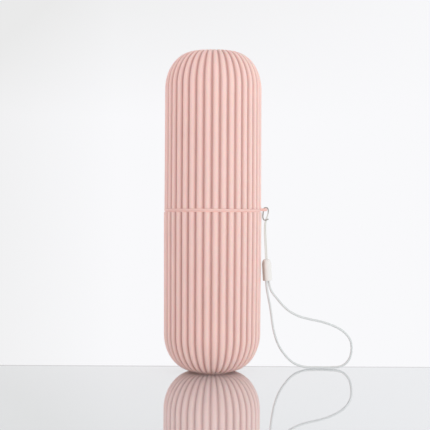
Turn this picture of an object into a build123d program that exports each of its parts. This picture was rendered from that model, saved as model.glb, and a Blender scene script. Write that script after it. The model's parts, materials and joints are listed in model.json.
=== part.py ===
from build123d import *
import math
import os

# A toothbrush travel cup: two reeded half shells that meet on a neck collar, a seal ring,
# and a wrist lanyard that hangs from the collar's ear and stands on the table.
# Sizes are millimetres and degrees. +Z is up, the origin is the centre of the base,
# and the ear points along +X.

# Outside of the two shells, measured over the crests of the reeds; each flares towards its rim
CUP_HEIGHT = 102.4
CAP_HEIGHT = 100.6
CREST_R = 31.1
CUP_RIM_FLARE = 0.4
CAP_RIM_FLARE = 0.1
DOME_RISE = 24.0
CUP_FLAT_R = 12.0
CAP_FLAT_R = 13.0
DOME_STATIONS = 12

# Reeds: convex crests with small round valleys; a crest faces +X and a valley faces -Y
REED_COUNT = 38
REED_DEPTH = 1.75
REED_VALLEY_R = 0.35
REED_RUN_OUT = 0.6

# Walls, measured behind the valleys, and the ends
SHELL_WALL = 1.2
END_WALL = 2.0
RIM_CHAMFER = 0.4
FOOT_HEIGHT = 0.5

# Neck collar: plain band with a shadow step under it, a fixed lower and a guiding upper spigot
BAND_INSET = 0.25
BAND_HEIGHT = 2.0
BAND_EDGE_R = 0.3
SHADOW_STEP_DEPTH = 0.55
SHADOW_STEP_HEIGHT = 0.6
COLLAR_WALL = 2.2
SPIGOT_CHAMFER = 0.8
LOWER_SPIGOT_LENGTH = 13.0
UPPER_SPIGOT_LENGTH = 18.0
SNAP_RIDGE_DROP = 8.0
SNAP_RIDGE_HEIGHT = 1.6
SNAP_RIDGE_PROUD = 0.35

# Seal ring in its groove, given as pressed by the closed cap
SEAL_GROOVE_RISE = 9.0
SEAL_GROOVE_HEIGHT = 2.4
SEAL_GROOVE_DEPTH = 1.3
SEAL_HEIGHT = 2.0
SEAL_EDGE_R = 0.5

# Clearances
FIXED_CLEARANCE = 0.04
CAP_CLEARANCE = 0.08
SEAL_CLEARANCE = 0.02
SEAT_CLEARANCE = 0.05
STRING_CLEARANCE = 0.05

# Lanyard ear: two arms and a round bar along Y, placed from the band and from the cup's rim
EAR_REACH = 2.95
EAR_RISE = 1.6
EAR_BAR_R = 0.9
EAR_SLOT_WIDTH = 4.2
EAR_ARM_WIDTH = 1.5

# String: two strands side by side, tied round the bar by their own bight
STRING_D = 0.8
STRING_PITCH = 0.9
BIGHT_PITCH = 2.9
STRING_LEAD = 11.5

# Barrel bead: it hangs a little outside the ear's bar and leans, as the string pulls it
BEAD_SET_OUT = 1.35
BEAD_BASE_Z = 58.5
BEAD_LEAN = 3.2
BEAD_D = 6.0
BEAD_LENGTH = 13.8
BEAD_NOSE_LENGTH = 3.5
BEAD_NOSE_R = 1.2
BEAD_BORE_R = 2.25
BEAD_BORE_DEPTH = 7.5
PLUG_LENGTH = 6.0
PLUG_CHAMFER = 0.5

# Wrist loop
LOOP_D = 1.5
LOOP_PITCH = 1.7
LOOP_LEAD = 5.5

# Share of the shorter run that each arc of a cord takes on either side of its corner
ARC_SHARE = 0.45

# The wrist loop's route between its two leads, from the strand nearer the cup round to the other
LOOP_ROUTE = [
    (36.7, 1.0, 45.4),
    (38.0, 2.3, 38.1),
    (38.9, 3.7, 30.6),
    (40.4, 5.2, 23.3),
    (42.9, 6.9, 16.0),
    (47.1, 8.6, 9.5),
    (52.6, 10.4, 3.8),
    (60.1, 11.7, 0.9),
    (68.6, 12.4, 0.85),
    (77.3, 12.5, 0.85),
    (84.8, 11.9, 1.4),
    (89.6, 10.7, 6.0),
    (91.0, 9.1, 12.4),
    (90.4, 7.6, 19.2),
    (85.8, 6.4, 25.2),
    (78.8, 5.3, 29.1),
    (70.9, 4.6, 31.8),
    (63.1, 3.8, 33.3),
    (55.8, 2.9, 35.2),
    (48.5, 1.9, 39.2),
    (43.0, 1.0, 45.3),
]

CUP_RIM_R = CREST_R + CUP_RIM_FLARE
CAP_RIM_R = CREST_R + CAP_RIM_FLARE
BORE_R = CREST_R - REED_DEPTH - SHELL_WALL
BAND_R = CUP_RIM_R - BAND_INSET
SHADOW_STEP_R = BAND_R - SHADOW_STEP_DEPTH
BAND_TOP = CUP_HEIGHT + BAND_HEIGHT
CAP_RIM_Z = BAND_TOP + SEAT_CLEARANCE
LOWER_SPIGOT_R = BORE_R - FIXED_CLEARANCE
UPPER_SPIGOT_R = BORE_R - CAP_CLEARANCE
NECK_BORE_R = UPPER_SPIGOT_R - COLLAR_WALL
SNAP_RIDGE_Z = CUP_HEIGHT - SNAP_RIDGE_DROP
SEAL_Z = BAND_TOP + SEAL_GROOVE_RISE
EAR_BAR_X = BAND_R + EAR_REACH
EAR_BAR_Z = CUP_HEIGHT + EAR_RISE
BEAD_FRAME = Location((EAR_BAR_X + BEAD_SET_OUT, 0, BEAD_BASE_Z), (0, -BEAD_LEAN, 0))


def reed_section():
    """Sizes of one reed on the shell's radius: half the angle that its crest arc spans, and
    the depth at which the crest arc runs into the valley arc."""
    half_pitch = math.pi * CREST_R / REED_COUNT
    both_radii = (half_pitch**2 + REED_DEPTH**2) / (2 * REED_DEPTH)
    crest_share = (both_radii - REED_VALLEY_R) / both_radii
    half_angle = math.degrees(half_pitch * crest_share / CREST_R)
    return half_angle, REED_DEPTH * crest_share


def reed_wire(radius, height, lean, scale):
    """One closed line round the shell, over every crest and through every valley.

    radius and height place the crests, lean is the angle of the surface's normal above the
    horizontal, and scale is the size of the reeds there."""
    pitch = 360 / REED_COUNT
    half_angle, join_depth = reed_section()

    def point(azimuth, depth):
        reach = radius - depth * scale * math.cos(math.radians(lean))
        drop = depth * scale * math.sin(math.radians(lean))
        turn = math.radians(azimuth)
        return Vector(reach * math.cos(turn), reach * math.sin(turn), height - drop)

    edges = []
    for index in range(REED_COUNT):
        crest = index * pitch
        start = point(crest - half_angle, join_depth)
        end = point(crest + half_angle, join_depth)
        after = point(crest + pitch - half_angle, join_depth)
        edges.append(ThreePointArc(start, point(crest, 0), end).edge())
        edges.append(ThreePointArc(end, point(crest + pitch / 2, REED_DEPTH), after).edge())
    return Wire(edges)


def reeded_body(height, rim_r, flat_r):
    """Solid outer form of a half shell, its rim at Z 0 and its flat end up. The reeds shrink
    with the dome's radius and run out at the edge of the flat disc."""
    side = height - DOME_RISE
    spread = CREST_R - flat_r
    wires = [reed_wire(rim_r, 0, 0, rim_r / CREST_R)]
    for station in range(DOME_STATIONS + 1):
        angle = math.radians(90 * station / DOME_STATIONS)
        radius = flat_r + spread * math.cos(angle)
        lean = math.degrees(math.atan2(spread * math.sin(angle), DOME_RISE * math.cos(angle)))
        wires.append(reed_wire(radius, side + DOME_RISE * math.sin(angle), lean, radius / CREST_R))
    wires.append(reed_wire(flat_r - REED_RUN_OUT, height, 0, 0))
    straight = Solid.make_loft(wires[:2], ruled=True)
    dome = Solid.make_loft(wires[1:])
    skin = [straight.faces().sort_by(Axis.Z)[0]]
    skin += straight.faces().filter_by(GeomType.PLANE, reverse=True)
    skin += dome.faces().filter_by(GeomType.PLANE, reverse=True)
    skin.append(dome.faces().sort_by(Axis.Z)[-1])
    return Solid(Shell(skin))


def turned(outline):
    """Solid turned about Z from a closed list of (radius, height) points."""
    return revolve(Plane.XZ * make_face(Polyline(*outline, close=True)), Axis.Z)


def cavity(height, flat_r):
    """Smooth inside of a half shell, its mouth at Z 0, with a chamfer for the spigot."""
    side = height - DOME_RISE
    mouth_r = BORE_R + RIM_CHAMFER
    dome = EllipticalCenterArc((flat_r, side), BORE_R - flat_r, DOME_RISE - END_WALL, arc_size=90)
    wall = Polyline((0, 0), (mouth_r, 0), (BORE_R, RIM_CHAMFER), (BORE_R, side))
    crown = Polyline((flat_r, height - END_WALL), (0, height - END_WALL), (0, 0))
    return revolve(Plane.XZ * make_face([wall.edges(), dome.edge(), crown.edges()]), Axis.Z)


def snap_ridge(reach, grow):
    """Low annular ridge of trapezium section that holds the collar in the cup."""
    half = SNAP_RIDGE_HEIGHT / 2 + grow
    top = reach + SNAP_RIDGE_PROUD
    return [
        (NECK_BORE_R + 1, SNAP_RIDGE_Z - half),
        (reach, SNAP_RIDGE_Z - half),
        (top, SNAP_RIDGE_Z - half / 2),
        (top, SNAP_RIDGE_Z + half / 2),
        (reach, SNAP_RIDGE_Z + half),
        (NECK_BORE_R + 1, SNAP_RIDGE_Z + half),
    ]


def cup_shell():
    """Lower half shell with the snap groove near its rim and a low round foot."""
    height = CUP_HEIGHT - FOOT_HEIGHT
    foot_r = CUP_FLAT_R - REED_RUN_OUT
    body = reeded_body(height, CUP_RIM_R, CUP_FLAT_R) - cavity(height, CUP_FLAT_R)
    upright = Pos(0, 0, CUP_HEIGHT) * Rot(180, 0, 0) * body
    upright += Pos(0, 0, (FOOT_HEIGHT + END_WALL) / 2) * Cylinder(foot_r, FOOT_HEIGHT + END_WALL)
    return upright - turned(snap_ridge(BORE_R, FIXED_CLEARANCE))


def cap_shell():
    """Upper half shell, its rim on the collar's band."""
    body = reeded_body(CAP_HEIGHT, CAP_RIM_R, CAP_FLAT_R) - cavity(CAP_HEIGHT, CAP_FLAT_R)
    return Pos(0, 0, CAP_RIM_Z) * body


def collar_ring():
    """The turned part of the neck collar."""
    low = CUP_HEIGHT - LOWER_SPIGOT_LENGTH
    high = BAND_TOP + UPPER_SPIGOT_LENGTH
    step = CUP_HEIGHT + SHADOW_STEP_HEIGHT
    ring = turned([
        (NECK_BORE_R, low),
        (LOWER_SPIGOT_R - SPIGOT_CHAMFER, low),
        (LOWER_SPIGOT_R, low + SPIGOT_CHAMFER),
        (LOWER_SPIGOT_R, CUP_HEIGHT),
        (SHADOW_STEP_R, CUP_HEIGHT),
        (SHADOW_STEP_R, step),
        (BAND_R, step),
        (BAND_R, BAND_TOP),
        (UPPER_SPIGOT_R, BAND_TOP),
        (UPPER_SPIGOT_R, high - SPIGOT_CHAMFER),
        (UPPER_SPIGOT_R - SPIGOT_CHAMFER, high),
        (NECK_BORE_R, high),
    ])
    edges = ring.edges().filter_by(GeomType.CIRCLE)
    ring = fillet([edge for edge in edges if abs(edge.radius - BAND_R) < 0.001], BAND_EDGE_R)
    ring += turned(snap_ridge(LOWER_SPIGOT_R, 0))
    groove = Cylinder(UPPER_SPIGOT_R + 1, SEAL_GROOVE_HEIGHT)
    groove -= Cylinder(UPPER_SPIGOT_R - SEAL_GROOVE_DEPTH, SEAL_GROOVE_HEIGHT)
    return ring - Pos(0, 0, SEAL_Z) * groove


def lanyard_ear():
    """Two flat arms from the band to a round bar along Y."""
    root_x = BAND_R - 1
    arm_length = EAR_BAR_X - root_x
    width = EAR_SLOT_WIDTH + 2 * EAR_ARM_WIDTH
    ear = Pos(EAR_BAR_X, 0, EAR_BAR_Z) * Rot(90, 0, 0) * Cylinder(EAR_BAR_R, width)
    for side in (-1, 1):
        arm = Box(arm_length, EAR_ARM_WIDTH, 2 * EAR_BAR_R)
        y = side * (EAR_SLOT_WIDTH + EAR_ARM_WIDTH) / 2
        ear += Pos(root_x + arm_length / 2, y, EAR_BAR_Z) * arm
    return ear


def neck_collar():
    """The collar with its ear. The ear is cut clear of the cap's seat and of the cup's rim."""
    clear = Pos(0, 0, BAND_TOP + CAP_HEIGHT / 2) * Cylinder(CAP_RIM_R + CAP_CLEARANCE, CAP_HEIGHT)
    return collar_ring() + (lanyard_ear() - clear)


def seal_ring():
    """Seal ring of rounded section, between the groove's floor and the cap's bore."""
    inner = UPPER_SPIGOT_R - SEAL_GROOVE_DEPTH + SEAL_CLEARANCE
    outer = BORE_R - SEAL_CLEARANCE
    section = Pos((inner + outer) / 2, SEAL_Z) * RectangleRounded(outer - inner, SEAL_HEIGHT, SEAL_EDGE_R)
    return revolve(Plane.XZ * section, Axis.Z)


def bead_sleeve():
    """Barrel of the bead: a straight wall, a domed nose with a small flat, and a bore below."""
    shoulder = BEAD_LENGTH - BEAD_NOSE_LENGTH
    radius = BEAD_D / 2
    nose = EllipticalCenterArc((BEAD_NOSE_R, shoulder), radius - BEAD_NOSE_R, BEAD_NOSE_LENGTH, arc_size=90)
    wall = Polyline((0, 0), (radius, 0), (radius, shoulder))
    axis = Polyline((BEAD_NOSE_R, BEAD_LENGTH), (0, BEAD_LENGTH), (0, 0))
    barrel = revolve(Plane.XZ * make_face([wall.edges(), nose.edge(), axis.edges()]), Axis.Z)
    barrel -= Cylinder(BEAD_BORE_R, 2 * BEAD_BORE_DEPTH)
    return BEAD_FRAME * barrel


def bead_plug():
    """Insert in the bead's bore, flush with its lower face."""
    radius = BEAD_BORE_R - FIXED_CLEARANCE
    plug = Pos(0, 0, PLUG_LENGTH / 2) * Cylinder(radius, PLUG_LENGTH)
    return BEAD_FRAME * chamfer(plug.edges().sort_by(Axis.Z)[-1], PLUG_CHAMFER)


def string_half(side):
    """Corner points of one strand, on the +Y side for 1 and on the -Y side for -1: from the
    bead's nose to the bar, over it, down beside the cup and out to the bight's crossing. The
    strands leave the bead one outside the other and reach the bar side by side."""
    bar_gap = EAR_BAR_R + STRING_CLEARANCE + STRING_D / 2
    strand = STRING_PITCH / 2
    leg = BIGHT_PITCH / 2
    nose = (BEAD_FRAME * Pos(side * strand, 0, BEAD_LENGTH)).position
    lead = (BEAD_FRAME * Pos(side * strand, 0, BEAD_LENGTH + STRING_LEAD)).position
    return [
        tuple(nose),
        tuple(lead),
        (EAR_BAR_X - 0.6 + side * 0.8 * strand, side * 0.8 * strand, EAR_BAR_Z - 8.6),
        (EAR_BAR_X + bar_gap + 0.4, side * strand, EAR_BAR_Z - 2.6),
        (EAR_BAR_X + bar_gap + 0.2, side * (strand + 0.1), EAR_BAR_Z + bar_gap + 0.1),
        (EAR_BAR_X - bar_gap, side * (leg - 0.05), EAR_BAR_Z + bar_gap + 0.1),
        (EAR_BAR_X - bar_gap - 0.2, side * leg, EAR_BAR_Z - 1.5),
        (EAR_BAR_X - bar_gap - 0.7, side * leg, EAR_BAR_Z - 4.7),
        (EAR_BAR_X - 1.1, side * leg, EAR_BAR_Z - 7.0),
        (EAR_BAR_X + 1.6, side * leg, EAR_BAR_Z - 6.1),
    ]


def loop_route():
    """Corner points of the wrist loop, both ends square to the plug's face."""
    half = LOOP_PITCH / 2
    ends = [(BEAD_FRAME * Pos(side * half, 0, 0)).position for side in (-1, 1)]
    leads = [(BEAD_FRAME * Pos(side * half, 0, -LOOP_LEAD)).position for side in (-1, 1)]
    start = [tuple(ends[0]), tuple(leads[0])]
    finish = [tuple(leads[1]), tuple(ends[1])]
    return start + LOOP_ROUTE + finish


def cord_tube(name, points, diameter):
    """Round tube on straight runs joined by tangent arcs; prints its sizes."""
    corners = [Vector(*point) for point in points]
    runs = [b - a for a, b in zip(corners, corners[1:])]
    radii = []
    for before, after in zip(runs, runs[1:]):
        turn = math.radians(before.get_angle(after))
        radii.append(ARC_SHARE * min(before.length, after.length) / math.tan(turn / 2))
    path = FilletPolyline(*corners, radius=radii)
    start = Plane(origin=path @ 0, z_dir=path % 0)
    tube = sweep(start * Circle(diameter / 2), path=path)
    expected = math.pi * diameter**2 / 4 * path.length
    print(name, "length", round(path.length, 1), "volume ratio", round(tube.volume / expected, 4))
    print(name, "radii", [round(radius, 1) for radius in radii])
    return tube


def lanyard_string():
    """Thin string in a loose lark's head on the ear's bar."""
    return cord_tube("lanyard_string", string_half(1) + string_half(-1)[::-1], STRING_D)


def wrist_loop():
    """Wrist loop that stands on the table."""
    return cord_tube("wrist_loop", loop_route(), LOOP_D)


def main():
    """Write each piece to its own file."""
    pieces = {
        "cup_shell": cup_shell(),
        "neck_collar": neck_collar(),
        "cap_shell": cap_shell(),
        "seal_ring": seal_ring(),
        "lanyard_string": lanyard_string(),
        "bead_sleeve": bead_sleeve(),
        "bead_plug": bead_plug(),
        "wrist_loop": wrist_loop(),
    }
    os.makedirs("parts", exist_ok=True)
    for name, piece in pieces.items():
        export_step(piece, f"parts/{name}.step")


main()
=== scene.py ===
import json
import logging
import math
from dataclasses import dataclass, field, replace
from enum import Enum
from typing import Callable, Sequence, Union

import bpy
from mathutils import Matrix, Quaternion, Vector

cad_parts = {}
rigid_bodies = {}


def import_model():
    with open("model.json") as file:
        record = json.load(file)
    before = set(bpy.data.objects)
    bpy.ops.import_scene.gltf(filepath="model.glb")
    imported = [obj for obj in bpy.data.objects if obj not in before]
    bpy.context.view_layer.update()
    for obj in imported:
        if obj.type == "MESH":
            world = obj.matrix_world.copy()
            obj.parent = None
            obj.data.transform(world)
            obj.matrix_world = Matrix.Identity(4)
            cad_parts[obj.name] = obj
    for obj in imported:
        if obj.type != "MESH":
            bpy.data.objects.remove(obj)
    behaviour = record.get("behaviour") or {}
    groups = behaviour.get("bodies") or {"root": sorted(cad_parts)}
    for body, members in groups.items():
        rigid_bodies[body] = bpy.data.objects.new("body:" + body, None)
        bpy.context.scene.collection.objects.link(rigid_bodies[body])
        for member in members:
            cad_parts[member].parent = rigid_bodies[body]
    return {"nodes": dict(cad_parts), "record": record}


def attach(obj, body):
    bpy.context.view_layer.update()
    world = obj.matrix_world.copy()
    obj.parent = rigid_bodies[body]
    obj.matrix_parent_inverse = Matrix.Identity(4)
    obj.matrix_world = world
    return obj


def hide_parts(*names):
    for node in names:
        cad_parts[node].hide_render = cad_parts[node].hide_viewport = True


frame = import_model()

# A toothbrush travel cup in metres, in the frame of the CAD nodes: +Z up from the centre of
# the base, the lanyard's ear along +X, and the camera looking along +Y.

MM = 0.001
PLASTIC_IOR = 1.49
SCREEN_FULL = 255
SCREEN_TOE = 0.04045
SCREEN_TOE_SLOPE = 12.92
SCREEN_OFFSET = 0.055
SCREEN_POWER = 2.4
NOISE_ROUGHNESS = 0.5
SPLINE_ORDER = 3

# Sockets whose names repeat on their node, by number.
MIX_SHARE, MIX_LOW, MIX_HIGH, MIX_COLOUR = 0, 6, 7, 2
LAYER_SHARE, LAYER_LOW, LAYER_HIGH = 0, 1, 2

LOG = logging.getLogger("travel_cup")
Colour = tuple[float, float, float]
Number = Union[int, float]


def srgb(red: Number, green: Number, blue: Number) -> Colour:
    """Turn a screen colour into the linear one that a shader takes.

    Args:
        red: Red part, 0 to 255.
        green: Green part, 0 to 255.
        blue: Blue part, 0 to 255.

    Returns:
        The linear colour, 0 to 1.
    """
    linear = []
    for part in (red, green, blue):
        share = part / SCREEN_FULL
        if share <= SCREEN_TOE:
            linear.append(share / SCREEN_TOE_SLOPE)
        else:
            linear.append(((share + SCREEN_OFFSET) / (1 + SCREEN_OFFSET)) ** SCREEN_POWER)
    return tuple(linear)


def deselect_all() -> None:
    """Leave nothing selected, so that an operator acts on its own piece alone."""
    for item in bpy.context.view_layer.objects:
        item.select_set(False)


class Twist(Enum):
    """Way that the plies of a string run round its centre line."""

    S = -1
    Z = 1


class Ray(Enum):
    """Kinds of ray that see the backdrop in place of the light."""

    CAMERA = "Is Camera Ray"
    GLOSSY = "Is Glossy Ray"
    TRANSMISSION = "Is Transmission Ray"


class Signal:
    """One output socket, which takes part in Python expressions."""

    def __init__(self, shader: "Shader", socket: bpy.types.NodeSocket) -> None:
        """Keep the socket with the node tree that it belongs to."""
        self.shader = shader
        self.socket = socket

    def maths(self, operation: str, *values: Union["Signal", Number]) -> "Signal":
        """Add one Math node on the values, in their order."""
        return self.shader.node("ShaderNodeMath", {"operation": operation}, dict(enumerate(values)))

    def __add__(self, other: Union["Signal", Number]) -> "Signal":
        """Sum."""
        return self.maths("ADD", self, other)

    def __radd__(self, other: Number) -> "Signal":
        """Sum with a number on the left."""
        return self.maths("ADD", other, self)

    def __sub__(self, other: Union["Signal", Number]) -> "Signal":
        """Difference."""
        return self.maths("SUBTRACT", self, other)

    def __rsub__(self, other: Number) -> "Signal":
        """Difference from a number on the left."""
        return self.maths("SUBTRACT", other, self)

    def __mul__(self, other: Union["Signal", Number]) -> "Signal":
        """Product."""
        return self.maths("MULTIPLY", self, other)

    def __rmul__(self, other: Number) -> "Signal":
        """Product with a number on the left."""
        return self.maths("MULTIPLY", other, self)

    def __pow__(self, other: Union["Signal", Number]) -> "Signal":
        """Power."""
        return self.maths("POWER", self, other)

    def cosine(self) -> "Signal":
        """Cosine of an angle in radians."""
        return self.maths("COSINE", self)

    def azimuth(self, east: "Signal") -> "Signal":
        """Angle from the X axis, in radians, of this Y and that X."""
        return self.maths("ARCTAN2", self, east)

    def magnitude(self) -> "Signal":
        """The value without its sign."""
        return self.maths("ABSOLUTE", self)

    def clamped(self) -> "Signal":
        """The value, held between 0 and 1."""
        return self.maths("MAXIMUM", self.maths("MINIMUM", self, 1.0), 0.0)


class Shader:
    """Node tree of one material or of the world."""

    def __init__(self, tree: bpy.types.NodeTree) -> None:
        """Empty the tree and remember it."""
        self.tree = tree
        tree.nodes.clear()

    def node(self, kind: str, settings: dict, sockets: dict, output: Union[int, str] = 0) -> Signal:
        """Add one node.

        Args:
            kind: Blender's name for the node's type.
            settings: Properties of the node, set first.
            sockets: Values or links of its inputs, by name or number.
            output: Output socket to return, by name or number.

        Returns:
            The node's output.
        """
        made = self.tree.nodes.new(kind)
        for name, value in settings.items():
            setattr(made, name, value)
        for name, value in sockets.items():
            self.feed(made.inputs[name], value)
        return Signal(self, made.outputs[output])

    def feed(self, socket: bpy.types.NodeSocket, value: object) -> None:
        """Link an input to a signal, or set its own value.

        Args:
            socket: The input.
            value: A signal, a number, a vector or a colour.
        """
        if isinstance(value, Signal):
            self.tree.links.new(value.socket, socket)
        elif socket.type == "RGBA":
            socket.default_value = (*value, 1.0)
        else:
            socket.default_value = value

    def blend(self, share: Signal, low: Union[Signal, Colour], high: Union[Signal, Colour]) -> Signal:
        """Mix two colours by a signal from 0 to 1."""
        return self.node(
            "ShaderNodeMix",
            {"data_type": "RGBA"},
            {MIX_SHARE: share, MIX_LOW: low, MIX_HIGH: high},
            output=MIX_COLOUR,
        )

    def finish(self, kind: str, surface: Signal) -> None:
        """Add the tree's output node and link the surface to it."""
        output = self.tree.nodes.new(kind)
        self.tree.links.new(surface.socket, output.inputs["Surface"])

    def parts(self, place: Signal) -> list[Signal]:
        """X, Y and Z of a vector."""
        split = self.node("ShaderNodeSeparateXYZ", {}, {"Vector": place}).socket.node
        return [Signal(self, split.outputs[name]) for name in "XYZ"]

    def place(self) -> Signal:
        """Object coordinates, in metres."""
        return self.node("ShaderNodeTexCoord", {}, {}, output="Object")

    def noise(self, place: Signal, scale: float, detail: float = 2.0) -> Signal:
        """Even noise from 0 to 1, with so many lumps to the metre."""
        return self.node(
            "ShaderNodeTexNoise",
            {},
            {"Vector": place, "Scale": scale, "Detail": detail, "Roughness": NOISE_ROUGHNESS},
        )

    def bump(self, height: Signal, depth: float, strength: float) -> Signal:
        """Normal that a height from 0 to 1 gives at that depth in metres."""
        return self.node(
            "ShaderNodeBump",
            {},
            {"Height": height, "Distance": depth, "Strength": strength},
        )


def dress(item: bpy.types.Object, material: bpy.types.Material) -> None:
    """Make a material the only one of a piece."""
    item.data.materials.clear()
    item.data.materials.append(material)


@dataclass(frozen=True)
class Finish:
    """Finish of a piece. Each kind says what its material's one Principled shader takes."""

    name: str

    def inputs(self, shader: Shader) -> dict[str, object]:
        """Values and signals of the shader's inputs, by name."""
        raise NotImplementedError

    def material(self) -> bpy.types.Material:
        """Make the material.

        Returns:
            The material, named as the finish is.
        """
        made = bpy.data.materials.new(self.name)
        made.use_nodes = True
        shader = Shader(made.node_tree)
        surface = shader.node("ShaderNodeBsdfPrincipled", {}, self.inputs(shader))
        shader.finish("ShaderNodeOutputMaterial", surface)
        return made


@dataclass(frozen=True)
class ReededPlastic(Finish):
    """Matte moulded plastic of the shells, with fine grain, crests that hands have smoothed, and painted
    shade darkening the valleys between the reeds.
    """

    crest_colour: Colour = srgb(253, 216, 208)
    valley_shade_colour: Colour = srgb(218, 178, 171)
    reed_count: int = 38
    crest_roughness: float = 0.42
    valley_roughness: float = 0.52
    valley_shade_sharpness: float = 2.0
    valley_shade_start: float = 10 * MM
    valley_shade_full: float = 20 * MM
    bloom: float = 0.22
    glow: float = 0.15
    glow_depth: float = 1.5 * MM
    cloud_scale: float = 55.0
    cloud_share: float = 0.25
    grain_scale: float = 5200.0
    grain_detail: float = 3.0
    grain_haze: float = 0.06
    grain_depth: float = 0.02 * MM
    grain_strength: float = 0.6

    def inputs(self, shader: Shader) -> dict[str, object]:
        """Painted shade in the valleys that fades out on the flat ends, faint clouds, and grain.

        Args:
            shader: The material's node tree.

        Returns:
            The shader's inputs by name.
        """
        place = shader.place()
        east, north, _ = shader.parts(place)
        crest = 0.5 + 0.5 * (north.azimuth(east) * self.reed_count).cosine()
        reach = (east * east + north * north) ** 0.5
        share = ((reach - self.valley_shade_start) * (1 / (self.valley_shade_full - self.valley_shade_start))).clamped()
        # Painted shade: the colour darkens towards each valley between the reeds, as the shade in the
        # grooves, and fades out on the flat ends.
        valley = (1 - crest) ** self.valley_shade_sharpness * share
        cloud = shader.noise(place, self.cloud_scale)
        grain = shader.noise(place, self.grain_scale, self.grain_detail)
        spread = self.valley_roughness - self.crest_roughness
        return {
            "Base Color": shader.blend(
                (1 - valley + (cloud - 0.5) * self.cloud_share).clamped(),
                self.valley_shade_colour,
                self.crest_colour,
            ),
            "Roughness": self.valley_roughness - crest * spread + (grain - 0.5) * self.grain_haze,
            "IOR": PLASTIC_IOR,
            "Sheen Weight": self.bloom,
            "Subsurface Weight": self.glow,
            "Subsurface Scale": self.glow_depth,
            "Normal": shader.bump(grain, self.grain_depth, self.grain_strength),
        }


@dataclass(frozen=True)
class SatinPlastic(Finish):
    """Smooth moulded plastic with faint flow marks."""

    colour: Colour
    flow_colour: Colour
    roughness: float
    flow_scale: float = 90.0
    flow_detail: float = 3.0
    flow_haze: float = 0.1
    grain_scale: float = 3800.0
    grain_depth: float = 0.01 * MM
    grain_strength: float = 0.4

    def inputs(self, shader: Shader) -> dict[str, object]:
        """Flow marks in colour and roughness, and grain.

        Args:
            shader: The material's node tree.

        Returns:
            The shader's inputs by name.
        """
        place = shader.place()
        flow = shader.noise(place, self.flow_scale, self.flow_detail)
        grain = shader.noise(place, self.grain_scale)
        return {
            "Base Color": shader.blend(flow, self.colour, self.flow_colour),
            "Roughness": self.roughness + (flow - 0.5) * self.flow_haze,
            "IOR": PLASTIC_IOR,
            "Normal": shader.bump(grain, self.grain_depth, self.grain_strength),
        }


@dataclass(frozen=True)
class Silicone(Finish):
    """Soft milky silicone of the seal ring, with a film of lint dust in its colour."""

    colour: Colour = srgb(228, 228, 224)
    dust_colour: Colour = srgb(214, 213, 209)
    roughness: float = 0.42
    glow: float = 0.25
    glow_depth: float = 1.0 * MM
    ior: float = 1.41
    dust_scale: float = 700.0
    dust_detail: float = 4.0
    dust_haze: float = 0.2
    dust_depth: float = 0.01 * MM
    dust_strength: float = 0.5

    def inputs(self, shader: Shader) -> dict[str, object]:
        """Dust in colour, roughness and relief.

        Args:
            shader: The material's node tree.

        Returns:
            The shader's inputs by name.
        """
        dust = shader.noise(shader.place(), self.dust_scale, self.dust_detail)
        return {
            "Base Color": shader.blend(dust, self.colour, self.dust_colour),
            "Roughness": self.roughness + (dust - 0.5) * self.dust_haze,
            "IOR": self.ior,
            "Subsurface Weight": self.glow,
            "Subsurface Scale": self.glow_depth,
            "Normal": shader.bump(dust, self.dust_depth, self.dust_strength),
        }


@dataclass(frozen=True)
class GlossyBead(Finish):
    """Polished pale bead with a clear gloss over a faint cloud, and painted taupe shade on the side towards
    the cup.
    """

    colour: Colour = srgb(247, 246, 243)
    cloud_colour: Colour = srgb(240, 239, 235)
    cup_side_shade_colour: Colour = srgb(206, 204, 196)
    foot_x: float = 0.0
    foot_z: float = 0.0
    slope: float = 0.0
    cup_side_shade_start: float = -0.9 * MM
    cup_side_shade_full: float = -2.1 * MM
    roughness: float = 0.16
    ior: float = 1.52
    coat: float = 0.5
    coat_roughness: float = 0.05
    cloud_scale: float = 320.0
    wear_scale: float = 2560.0
    wear_detail: float = 4.0
    wear_haze: float = 0.1
    wear_depth: float = 0.004 * MM
    wear_strength: float = 0.3

    def inputs(self, shader: Shader) -> dict[str, object]:
        """Cloud and painted taupe shade on the side towards the cup in the colour, and wear in the gloss.

        Args:
            shader: The material's node tree.

        Returns:
            The shader's inputs by name.
        """
        place = shader.place()
        east, _, height = shader.parts(place)
        # Painted shade: the side of the bead towards the cup is darkened to taupe in the colour.
        across = (east - self.foot_x) + (height - self.foot_z) * self.slope
        side = ((self.cup_side_shade_start - across) * (1 / (self.cup_side_shade_start - self.cup_side_shade_full))).clamped()
        cloud = shader.noise(place, self.cloud_scale)
        wear = shader.noise(place, self.wear_scale, self.wear_detail)
        pale = shader.blend(cloud, self.colour, self.cloud_colour)
        return {
            "Base Color": shader.blend(side, pale, self.cup_side_shade_colour),
            "Roughness": self.roughness + (wear - 0.5) * self.wear_haze,
            "IOR": self.ior,
            "Coat Weight": self.coat,
            "Coat Roughness": self.coat_roughness,
            "Normal": shader.bump(wear, self.wear_depth, self.wear_strength),
        }


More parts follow.
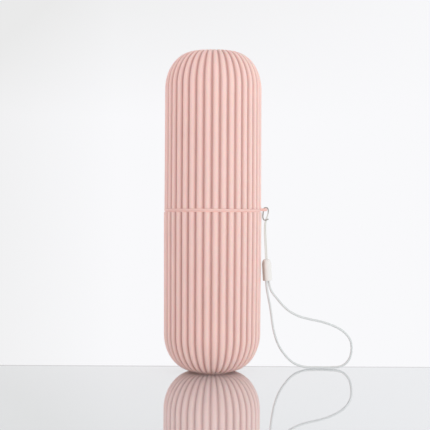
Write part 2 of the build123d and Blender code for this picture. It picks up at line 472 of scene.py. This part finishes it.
@dataclass(frozen=True)
class SpunFibre(Finish):
    """Spun or braided fibre, with painted shade between its strands and fine hairs along them."""

    top_colour: Colour
    gap_shade_colour: Colour
    fibres_around: float
    fibres_along: float = 5200.0
    fibre_detail: float = 3.0
    shade_from_rise: float = 0.85
    tone_from_fibre: float = 0.5
    tone_base: float = 0.1
    roughness: float = 0.82
    fibre_shine: float = 0.12
    fuzz: float = 0.2
    bump_depth: float = 0.03 * MM
    bump_from_rise: float = 0.5
    bump_strength: float = 0.7

    def colour(self, shader: Shader, along: Signal, tone: Signal) -> Signal:
        """Colour of the fibre.

        Args:
            shader: The material's node tree.
            along: Place round and along the cord.
            tone: 0 in a gap and 1 on top of a strand.

        Returns:
            The colour.
        """
        return shader.blend(tone, self.gap_shade_colour, self.top_colour)

    def inputs(self, shader: Shader) -> dict[str, object]:
        """Painted shade in the gaps, and hairs that are drawn out along the cord.

        Args:
            shader: The material's node tree.

        Returns:
            The shader's inputs by name.
        """
        rise = shader.node("ShaderNodeAttribute", {"attribute_name": "rise"}, {}, output="Fac")
        along = shader.node("ShaderNodeUVMap", {"uv_map": "cord"}, {})
        stretch = (self.fibres_around, self.fibres_along, 1.0)
        stretched = shader.node("ShaderNodeMapping", {}, {"Vector": along, "Scale": stretch})
        fibre = shader.noise(stretched, 1.0, self.fibre_detail)
        # Painted shade: the colour is darker in the gaps between strands, where the rise is low; the fibre
        # noise adds random tone.
        tone = rise * self.shade_from_rise + (fibre - 0.5) * self.tone_from_fibre + self.tone_base
        relief = rise * self.bump_from_rise + fibre
        return {
            "Base Color": self.colour(shader, along, tone.clamped()),
            "Roughness": self.roughness - fibre * self.fibre_shine,
            "Sheen Weight": self.fuzz,
            "Normal": shader.bump(relief, self.bump_depth, self.bump_strength),
        }


@dataclass(frozen=True)
class KnottedFibre(SpunFibre):
    """Fibre with painted grey shade where it is tied, in the middle of its length."""

    knot_shade_colour: Colour = srgb(166, 163, 158)
    knot_shade_share: float = 0.85
    knot_middle: float = 47.4 * MM
    knot_reach: float = 18.5 * MM
    knot_fade: float = 3.0 * MM

    def colour(self, shader: Shader, along: Signal, tone: Signal) -> Signal:
        """Colour of the fibre, with painted shade over the knot.

        Args:
            shader: The material's node tree.
            along: Place round and along the cord.
            tone: 0 in a gap and 1 on top of a strand.

        Returns:
            The colour.
        """
        unshaded = super().colour(shader, along, tone)
        _, distance, _ = shader.parts(along)
        # Painted shade: the string is greyed over the knot, where its strands shade each other.
        away = (distance - self.knot_middle).magnitude()
        knot_shade = ((self.knot_reach - away) * (1 / self.knot_fade)).clamped()
        return shader.blend(knot_shade * self.knot_shade_share, unshaded, self.knot_shade_colour)


@dataclass(frozen=True)
class GlossTable(Finish):
    """Polished white table top that mirrors, with faint haze and a line of painted shade along its far edge.
    """

    colour: Colour = (0.897, 0.925, 0.937)
    haze_colour: Colour = (0.882, 0.91, 0.922)
    edge_shade_colour: Colour = (0.6, 0.6, 0.61)
    edge_start: float = 15.5 * MM
    edge_full: float = 16.5 * MM
    edge_slope: float = 0.0
    mirror: float = 0.66
    roughness: float = 0.012
    ior: float = 1.5
    haze_scale: float = 9.0
    haze_roughness: float = 0.01

    def inputs(self, shader: Shader) -> dict[str, object]:
        """Haze in colour and gloss, and the painted shade line, which runs with the slope of the edge.

        Args:
            shader: The material's node tree.

        Returns:
            The shader's inputs by name.
        """
        place = shader.place()
        haze = shader.noise(place, self.haze_scale)
        east, north, _ = shader.parts(place)
        depth = north - east * self.edge_slope
        # Painted shade: a darker line along the table's far edge.
        edge = ((depth - self.edge_start) * (1 / (self.edge_full - self.edge_start))).clamped()
        top = shader.blend(haze, self.colour, self.haze_colour)
        return {
            "Base Color": shader.blend(edge, top, self.edge_shade_colour),
            "Roughness": self.roughness + haze * self.haze_roughness,
            "Metallic": self.mirror,
            "IOR": self.ior,
        }


class CordLine:
    """Smooth centre line of a cord, read from a NURBS spline through its route."""

    def __init__(self, name: str, route: Sequence[Vector], steps: int) -> None:
        """Draw the spline, read its points, and measure along them.

        Args:
            name: Name of the curve, which is removed when it has been read.
            route: Control points, in metres.
            steps: Points that the spline gives for each control point.
        """
        curve = bpy.data.curves.new(name, "CURVE")
        curve.dimensions = "3D"
        spline = curve.splines.new("NURBS")
        spline.points.add(len(route) - 1)
        for point, corner in zip(spline.points, route):
            point.co = (*corner, 1.0)
        spline.order_u = SPLINE_ORDER
        spline.use_endpoint_u = True
        spline.resolution_u = steps
        drawn = bpy.data.objects.new(name, curve)
        bpy.context.scene.collection.objects.link(drawn)
        line = bpy.data.meshes.new_from_object(drawn)
        self.points = [vertex.co.copy() for vertex in line.vertices]
        bpy.data.objects.remove(drawn)
        bpy.data.curves.remove(curve)
        bpy.data.meshes.remove(line)
        self.distances = [0.0]
        for before, after in zip(self.points, self.points[1:]):
            self.distances.append(self.distances[-1] + (after - before).length)

    @property
    def length(self) -> float:
        """Length along the line, in metres."""
        return self.distances[-1]


def frames_along(points: Sequence[Vector]) -> list[tuple[Vector, Vector]]:
    """Carry two cross directions along a line without twist.

    Args:
        points: The line's points.

    Returns:
        Two unit vectors across the line at each point.
    """
    frames = []
    across = None
    for index, point in enumerate(points):
        ahead = points[min(index + 1, len(points) - 1)]
        behind = points[max(index - 1, 0)]
        tangent = (ahead - behind).normalized()
        if across is None:
            across = tangent.orthogonal().normalized()
        across = (across - tangent * across.dot(tangent)).normalized()
        frames.append((across, tangent.cross(across)))
    return frames


class CordMesh:
    """Vertices, faces and surface values of a cord, gathered tube by tube."""

    def __init__(self) -> None:
        """Start with nothing."""
        self.vertices: list[Vector] = []
        self.faces: list[tuple[int, ...]] = []
        self.rises: list[float] = []
        self.places: list[tuple[float, float]] = []

    def add_tube(
        self,
        points: Sequence[Vector],
        distances: Sequence[float],
        sides: int,
        radius: Callable[[float, float], tuple[float, float]],
    ) -> None:
        """Add one closed tube.

        Args:
            points: The tube's centre line.
            distances: Distance along the cord at each point.
            sides: Number of flats round the tube.
            radius: Gives radius and rise, 0 to 1, for an angle and a distance.
        """
        first = len(self.vertices)
        frames = frames_along(points)
        for point, distance, (across, over) in zip(points, distances, frames):
            for side in range(sides):
                angle = 2 * math.pi * side / sides
                reach, rise = radius(angle, distance)
                self.vertices.append(point + (across * math.cos(angle) + over * math.sin(angle)) * reach)
                self.rises.append(rise)
                self.places.append((side / sides, distance))
        for ring in range(len(points) - 1):
            start = first + ring * sides
            for side in range(sides):
                after = (side + 1) % sides
                self.faces.append((start + side, start + after, start + sides + after, start + sides + side))
        last = first + (len(points) - 1) * sides
        self.faces.append(tuple(range(first + sides - 1, first - 1, -1)))
        self.faces.append(tuple(range(last, last + sides)))

    def piece(self, name: str) -> bpy.types.Object:
        """Make the piece, with its rise attribute and its map along the cord.

        Args:
            name: Name of the piece.

        Returns:
            The piece.
        """
        mesh = bpy.data.meshes.new(name)
        mesh.from_pydata([tuple(vertex) for vertex in self.vertices], [], self.faces)
        rise = mesh.attributes.new("rise", "FLOAT", "POINT")
        rise.data.foreach_set("value", self.rises)
        layer = mesh.uv_layers.new(name="cord")
        for loop in mesh.loops:
            layer.data[loop.index].uv = self.places[loop.vertex_index]
        mesh.polygons.foreach_set("use_smooth", [True] * len(mesh.polygons))
        mesh.update()
        made = bpy.data.objects.new(name, mesh)
        bpy.context.scene.collection.objects.link(made)
        return made


@dataclass
class Shells:
    """The two reeded half shells."""

    finish: ReededPlastic = ReededPlastic("shell_plastic")

    def build(self) -> None:
        """Dress the cup and the cap."""
        plastic = self.finish.material()
        for node in ("cup_shell", "cap_shell"):
            dress(frame["nodes"][node], plastic)
            LOG.info("%s dressed", node)


@dataclass
class Neck:
    """The collar between the shells, and the seal ring in its groove."""

    collar_finish: SatinPlastic = SatinPlastic(
        "collar_plastic", srgb(250, 210, 201), srgb(246, 203, 194), roughness=0.34
    )
    seal_finish: Silicone = Silicone("seal_silicone")

    def build(self) -> None:
        """Dress the collar and the seal ring."""
        dress(frame["nodes"]["neck_collar"], self.collar_finish.material())
        dress(frame["nodes"]["seal_ring"], self.seal_finish.material())
        LOG.info("neck_collar and seal_ring dressed")


@dataclass
class Bead:
    """The barrel bead with its plug, and where the cords meet it."""

    base: Vector = field(default_factory=lambda: Vector((35.55, 0.0, 58.5)) * MM)
    lean_deg: float = 3.2
    length: float = 13.8 * MM
    barrel_finish: GlossyBead = GlossyBead("bead_gloss")
    plug_finish: SatinPlastic = SatinPlastic(
        "plug_plastic", srgb(222, 215, 208), srgb(214, 206, 199), roughness=0.45
    )

    def point(self, across: float, side: float, along: float) -> Vector:
        """Point in the bead's own frame: across in X, to the side in Y, and along its line."""
        lean = Matrix.Rotation(math.radians(-self.lean_deg), 3, "Y")
        return self.base + lean @ Vector((across, side, along))

    def build(self) -> list[bpy.types.Object]:
        """Dress the bead's two pieces.

        Returns:
            The pieces, which are handed to the string's build.
        """
        barrel = frame["nodes"]["bead_sleeve"]
        plug = frame["nodes"]["bead_plug"]
        slope = math.tan(math.radians(self.lean_deg))
        finish = replace(self.barrel_finish, foot_x=self.base.x, foot_z=self.base.z, slope=slope)
        dress(barrel, finish.material())
        dress(plug, self.plug_finish.material())
        LOG.info("bead_sleeve and bead_plug dressed")
        return [barrel, plug]


@dataclass
class TiedString:
    """Twisted string, tied to the ear's bar with a loose lark's head."""

    diameter: float = 0.8 * MM
    pitch: float = 0.9 * MM
    bight_pitch: float = 2.9 * MM
    lead: float = 11.5 * MM
    bar_radius: float = 0.9 * MM
    clearance: float = 0.05 * MM
    turn_share: float = 0.8
    plies: int = 3
    ply_sides: int = 9
    ply_rise: float = 0.8
    spline_steps: int = 56
    twist_length: float = 2.6 * MM
    twist: Twist = Twist.Z
    finish: SpunFibre = KnottedFibre("string_fibre", srgb(241, 244, 239), srgb(206, 210, 203), 6.0)

    def half(self, side: int, bar: Vector, bead: Bead) -> list[Vector]:
        """Control points of one strand, from the bead's nose over the bar to the bight.

        Args:
            side: 1 for the strand on the +Y side, -1 for the other.
            bar: Centre of the ear's bar.
            bead: The bead that the string carries.

        Returns:
            The points, in metres.
        """
        gap = self.bar_radius + self.clearance + self.diameter / 2
        strand = self.pitch / 2
        leg = self.bight_pitch / 2
        turned = self.turn_share * side * strand
        return [
            # Up from the bead, beside the other strand.
            bead.point(side * strand, 0, bead.length),
            bead.point(side * strand, 0, bead.length + self.lead),
            # Through the bight, where the pair has turned a little, and up outside the bar.
            bar + Vector((turned - 0.6 * MM, turned, -8.6 * MM)),
            bar + Vector((gap + 0.4 * MM, side * strand, -2.6 * MM)),
            # Over the bar and down on the cup's side of it.
            bar + Vector((gap + 0.2 * MM, side * (strand + 0.1 * MM), gap + 0.1 * MM)),
            bar + Vector((-gap, side * (leg - 0.05 * MM), gap + 0.1 * MM)),
            bar + Vector((-gap - 0.2 * MM, side * leg, -1.5 * MM)),
            bar + Vector((-gap - 0.7 * MM, side * leg, -4.7 * MM)),
            # Round the outside of the pair, as half of the bight.
            bar + Vector((-1.1 * MM, side * leg, -7.0 * MM)),
            bar + Vector((1.6 * MM, side * leg, -6.1 * MM)),
        ]

    @property
    def ply_radius(self) -> float:
        """Radius of one ply, and of the circle that the plies run on."""
        return self.diameter / 4

    def ply_surface(self, angle: float, distance: float) -> tuple[float, float]:
        """Radius and rise of a ply, the same all round and all along."""
        return self.ply_radius, self.ply_rise

    def build(self, bar: Vector, bead: Bead, on_it: Sequence[bpy.types.Object]) -> None:
        """Args:
            bar: Centre of the ear's bar.
            bead: The bead that the string carries.
            on_it: The pieces that hang on the string; not used.
        """
        route = self.half(1, bar, bead) + self.half(-1, bar, bead)[::-1]
        line = CordLine("string_line", route, self.spline_steps)
        frames = frames_along(line.points)
        mesh = CordMesh()
        for ply in range(self.plies):
            start = 2 * math.pi * ply / self.plies
            centres = []
            for point, distance, (across, over) in zip(line.points, line.distances, frames):
                angle = start + self.twist.value * 2 * math.pi * distance / self.twist_length
                offset = across * math.cos(angle) + over * math.sin(angle)
                centres.append(point + offset * self.ply_radius)
            mesh.add_tube(centres, line.distances, self.ply_sides, self.ply_surface)
        string = mesh.piece("twisted_string")
        dress(string, self.finish.material())
        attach(string, "lanyard")
        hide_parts("lanyard_string")
        LOG.info("twisted_string %.1f mm", line.length / MM)


@dataclass
class WristLoop:
    """Braided round cord that stands on the table, both ends in the bead's plug."""

    diameter: float = 1.5 * MM
    pitch: float = 1.7 * MM
    lead: float = 5.5 * MM
    carriers: int = 6
    braid_length: float = 5.4 * MM
    braid_depth: float = 0.09 * MM
    sides: int = 48
    spline_steps: int = 44
    route_mm: tuple[tuple[float, float, float], ...] = (
        (36.7, 1.0, 45.4),
        (38.0, 2.3, 38.1),
        (38.9, 3.7, 30.6),
        (40.4, 5.2, 23.3),
        (42.9, 6.9, 16.0),
        (47.1, 8.6, 9.5),
        (52.6, 10.4, 3.8),
        (60.1, 11.7, 0.9),
        (68.6, 12.4, 0.85),
        (77.3, 12.5, 0.85),
        (84.8, 11.9, 1.4),
        (89.6, 10.7, 6.0),
        (91.0, 9.1, 12.4),
        (90.4, 7.6, 19.2),
        (85.8, 6.4, 25.2),
        (78.8, 5.3, 29.1),
        (70.9, 4.6, 31.8),
        (63.1, 3.8, 33.3),
        (55.8, 2.9, 35.2),
        (48.5, 1.9, 39.2),
        (43.0, 1.0, 45.3),
    )
    finish: SpunFibre = SpunFibre("cord_braid", srgb(236, 241, 241), srgb(193, 198, 199), 40.0)

    def route(self, bead: Bead) -> list[Vector]:
        """Control points from the plug's face, down to the table, round and back.

        Args:
            bead: The bead that holds both ends.

        Returns:
            The points, in metres.
        """
        half = self.pitch / 2
        start = [bead.point(-half, 0, 0), bead.point(-half, 0, -self.lead)]
        finish = [bead.point(half, 0, -self.lead), bead.point(half, 0, 0)]
        return start + [Vector(point) * MM for point in self.route_mm] + finish

    def surface(self, angle: float, distance: float) -> tuple[float, float]:
        """Radius and rise of the braid: strands of two hands that pass over and under.

        Args:
            angle: Angle round the cord.
            distance: Distance along the cord.

        Returns:
            The radius in metres and the rise, 0 to 1.
        """
        along = math.pi * self.carriers * distance / self.braid_length
        around = self.carriers * angle / 2
        right = around + along
        left = around - along
        over = 0.5 + 0.5 * math.sin(right) * math.sin(left)
        rise = over * abs(math.cos(right)) + (1 - over) * abs(math.cos(left))
        rise = math.sqrt(rise)
        return self.diameter / 2 - self.braid_depth * (1 - rise), rise

    def build(self, bead: Bead) -> None:
        """Args:
            bead: The bead that holds both ends.
        """
        line = CordLine("loop_line", self.route(bead), self.spline_steps)
        mesh = CordMesh()
        mesh.add_tube(line.points, line.distances, self.sides, self.surface)
        cord = mesh.piece("braided_loop")
        dress(cord, self.finish.material())
        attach(cord, "lanyard")
        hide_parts("wrist_loop")
        LOG.info("braided_loop %.1f mm", line.length / MM)


@dataclass
class Studio:
    """Table, backdrop, lights and camera."""

    table_half_width: float = 0.9
    table_near: float = -0.9
    table_far: float = 0.0205
    table_thickness: float = 0.018
    table_edge: float = 0.0012
    table_edge_segments: int = 8
    table_turn_deg: float = 1.7
    table_finish: GlossTable = GlossTable("table_gloss")
    level_fill: Colour = (1.06, 1.03, 1.026)
    left_fill: Colour = (1.24, 1.03, 1.03)
    top_fill: Colour = (0.46, 0.455, 0.465)
    key_power: float = 6.4
    key_colour: Colour = (0.95, 1.0, 0.985)
    key_size: float = 0.9
    key_place: tuple[float, float, float] = (0.74, -1.01, 0.14)
    key_target: tuple[float, float, float] = (0.0, 0.0, 0.1)
    backdrop: Colour = srgb(249, 249, 251)
    dim_backdrop: Colour = srgb(234, 234, 234)
    dim_left_start: float = 0.13
    dim_left_rate: float = 4.5
    dim_high_start: float = 0.1
    dim_high_rate: float = 7.0
    dim_high_middle: float = 0.5
    dim_high_slope: float = 2.0
    camera_distance: float = 0.610
    camera_height: float = 0.1014
    camera_aside: float = 0.0015
    camera_azimuth_deg: float = 1.5
    camera_roll_deg: float = 0.3
    camera_shift: float = -0.0033
    focal_length: float = 79.17
    sensor_width: float = 36.0
    clip_start: float = 0.01
    clip_end: float = 20.0

    def add_table(self) -> None:
        """Slab whose far edge lies just behind the cup, with a small round along it."""
        deselect_all()
        depth = self.table_far - self.table_near
        middle = (self.table_far + self.table_near) / 2
        turn = math.radians(self.table_turn_deg)
        place = Matrix.Rotation(turn, 3, "Z") @ Vector((0, middle, -self.table_thickness / 2))
        bpy.ops.mesh.primitive_cube_add(size=1, location=place, rotation=(0, 0, turn))
        table = bpy.context.object
        table.name = "table"
        table.scale = (2 * self.table_half_width, depth, self.table_thickness)
        bpy.ops.object.transform_apply(location=True, rotation=True, scale=True)
        bevel = table.modifiers.new("edge", "BEVEL")
        bevel.width = self.table_edge
        bevel.segments = self.table_edge_segments
        bpy.ops.object.modifier_apply(modifier=bevel.name)
        dress(table, replace(self.table_finish, edge_slope=math.tan(turn)).material())

    def add_world(self) -> None:
        """Light by direction for the object, and a pale backdrop for the rays that see it, with painted
        shade to the left and higher up.
        """
        world = bpy.data.worlds.new("studio")
        world.use_nodes = True
        bpy.context.scene.world = world
        shader = Shader(world.node_tree)
        direction = shader.node("ShaderNodeTexCoord", {}, {}, output="Generated")
        across, _, rise = shader.parts(direction)
        # Painted shade: the backdrop that rays see is darker to the left, and higher up towards the left.
        left = (-self.dim_left_start - across).clamped() * self.dim_left_rate
        high = (rise - self.dim_high_start).clamped() * self.dim_high_rate
        corner = high * (self.dim_high_middle - across * self.dim_high_slope).clamped()
        backdrop = shader.blend((left + corner).clamped(), self.backdrop, self.dim_backdrop)
        seen = shader.node("ShaderNodeBackground", {}, {"Color": backdrop, "Strength": 1.0})
        sides = shader.blend((0 - across).clamped(), self.level_fill, self.left_fill)
        fill = shader.blend(rise.clamped(), sides, self.top_fill)
        light = shader.node("ShaderNodeBackground", {}, {"Color": fill, "Strength": 1.0})
        camera, glossy, clear = [
            shader.node("ShaderNodeLightPath", {}, {}, output=ray.value) for ray in Ray
        ]
        sees = (camera + glossy + clear).clamped()
        layers = {LAYER_SHARE: sees, LAYER_LOW: light, LAYER_HIGH: seen}
        shader.finish("ShaderNodeOutputWorld", shader.node("ShaderNodeMixShader", {}, layers))

    def add_key(self) -> None:
        """Broad soft light from the front and right, which mirrors don't show."""
        data = bpy.data.lights.new("key", "AREA")
        data.shape = "SQUARE"
        data.size = self.key_size
        data.energy = self.key_power
        data.color = self.key_colour
        key = bpy.data.objects.new("key", data)
        key.location = self.key_place
        away = Vector(self.key_place) - Vector(self.key_target)
        key.rotation_euler = away.to_track_quat("Z", "Y").to_euler()
        key.visible_glossy = False
        bpy.context.scene.collection.objects.link(key)

    def add_camera(self) -> None:
        """Level camera at the height of the cup's middle, looking nearly along +Y."""
        data = bpy.data.cameras.new("camera")
        data.lens = self.focal_length
        data.sensor_width = self.sensor_width
        data.clip_start = self.clip_start
        data.clip_end = self.clip_end
        data.shift_y = self.camera_shift
        camera = bpy.data.objects.new("camera", data)
        turn = Quaternion((0, 0, 1), math.radians(self.camera_azimuth_deg))
        level = Quaternion((1, 0, 0), math.radians(90))
        roll = Quaternion((0, 0, 1), math.radians(self.camera_roll_deg))
        camera.location = turn @ Vector((self.camera_aside, -self.camera_distance, self.camera_height))
        camera.rotation_mode = "QUATERNION"
        camera.rotation_quaternion = turn @ level @ roll
        bpy.context.scene.collection.objects.link(camera)
        bpy.context.scene.camera = camera

    def build(self) -> None:
        """Set the stage."""
        bpy.context.scene.view_settings.view_transform = "Standard"
        self.add_table()
        self.add_world()
        self.add_key()
        self.add_camera()
        LOG.info("studio built")


def mount_place(name: str) -> Vector:
    """Place of one of the record's mounts, in metres."""
    return next(Vector(mount["pos_m"]) for mount in frame["record"]["mounts"] if mount["name"] == name)


def main() -> None:
    """Build the studio, dress the CAD pieces and lay the cords."""
    logging.basicConfig(level=logging.INFO, format="%(name)s: %(message)s")
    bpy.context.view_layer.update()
    Studio().build()
    Shells().build()
    Neck().build()
    bead = Bead()
    TiedString().build(mount_place("lanyard_ear"), bead, bead.build())
    WristLoop().build(bead)


if __name__ == "__main__":
    main()
